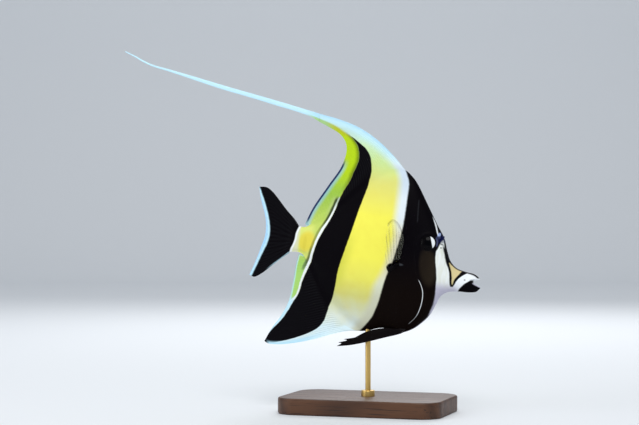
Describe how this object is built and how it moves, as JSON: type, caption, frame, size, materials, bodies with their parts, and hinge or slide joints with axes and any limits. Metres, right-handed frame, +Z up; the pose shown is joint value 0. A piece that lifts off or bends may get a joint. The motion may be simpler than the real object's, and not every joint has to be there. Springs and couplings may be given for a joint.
{
  "type": "moorish idol fish model on stand",
  "caption": "Life-size still model of a moorish idol, a tall banded reef fish with a long trailing dorsal filament, swimming nose-down on a rod and flat base.",
  "frame": {"origin": "centre of the stand base's flat underside", "axes": "+X towards the fish's snout along the base, +Y to the fish's left side, +Z up"},
  "size_m": [0.2804, 0.076, 0.2725],
  "materials": {
    "head_skin": "satin, fine velvety scales, black with white and orange face marks",
    "body_skin": "satin, fine scales, lemon yellow and cream with black bars",
    "dark_fin": "satin, fine rays, black with a pale rim on the tail",
    "banded_fin": "satin, fine rays, lime and white with the black bars carried on",
    "filament": "satin, pale bluish white",
    "clear_fin": "clear membrane with fine grey rays",
    "eye": "polished black with a pale rim at the front",
    "horn": "satin, dark blue-grey",
    "stand_wood": "satin oiled walnut",
    "stand_metal": "satin brushed"
  },
  "bodies": {
    "root": {"head": "head_skin", "lower_jaw": "head_skin", "trunk": "body_skin", "tail_stalk": "body_skin", "caudal_fin": "dark_fin", "dorsal_fin_front": "banded_fin", "dorsal_fin_rear": "banded_fin", "dorsal_filament_inner": "filament", "dorsal_filament_outer": "filament", "anal_fin": "banded_fin", "pectoral_fin_right": "clear_fin", "pectoral_fin_left": "clear_fin", "pelvic_fin_right": "dark_fin", "pelvic_fin_left": "dark_fin", "eye_right": "eye", "eye_left": "eye", "brow_horn_right": "horn", "brow_horn_left": "horn", "stand_base": "stand_wood", "stand_rod": "stand_metal", "stand_collar": "stand_metal"}
  },
  "joints": []
}
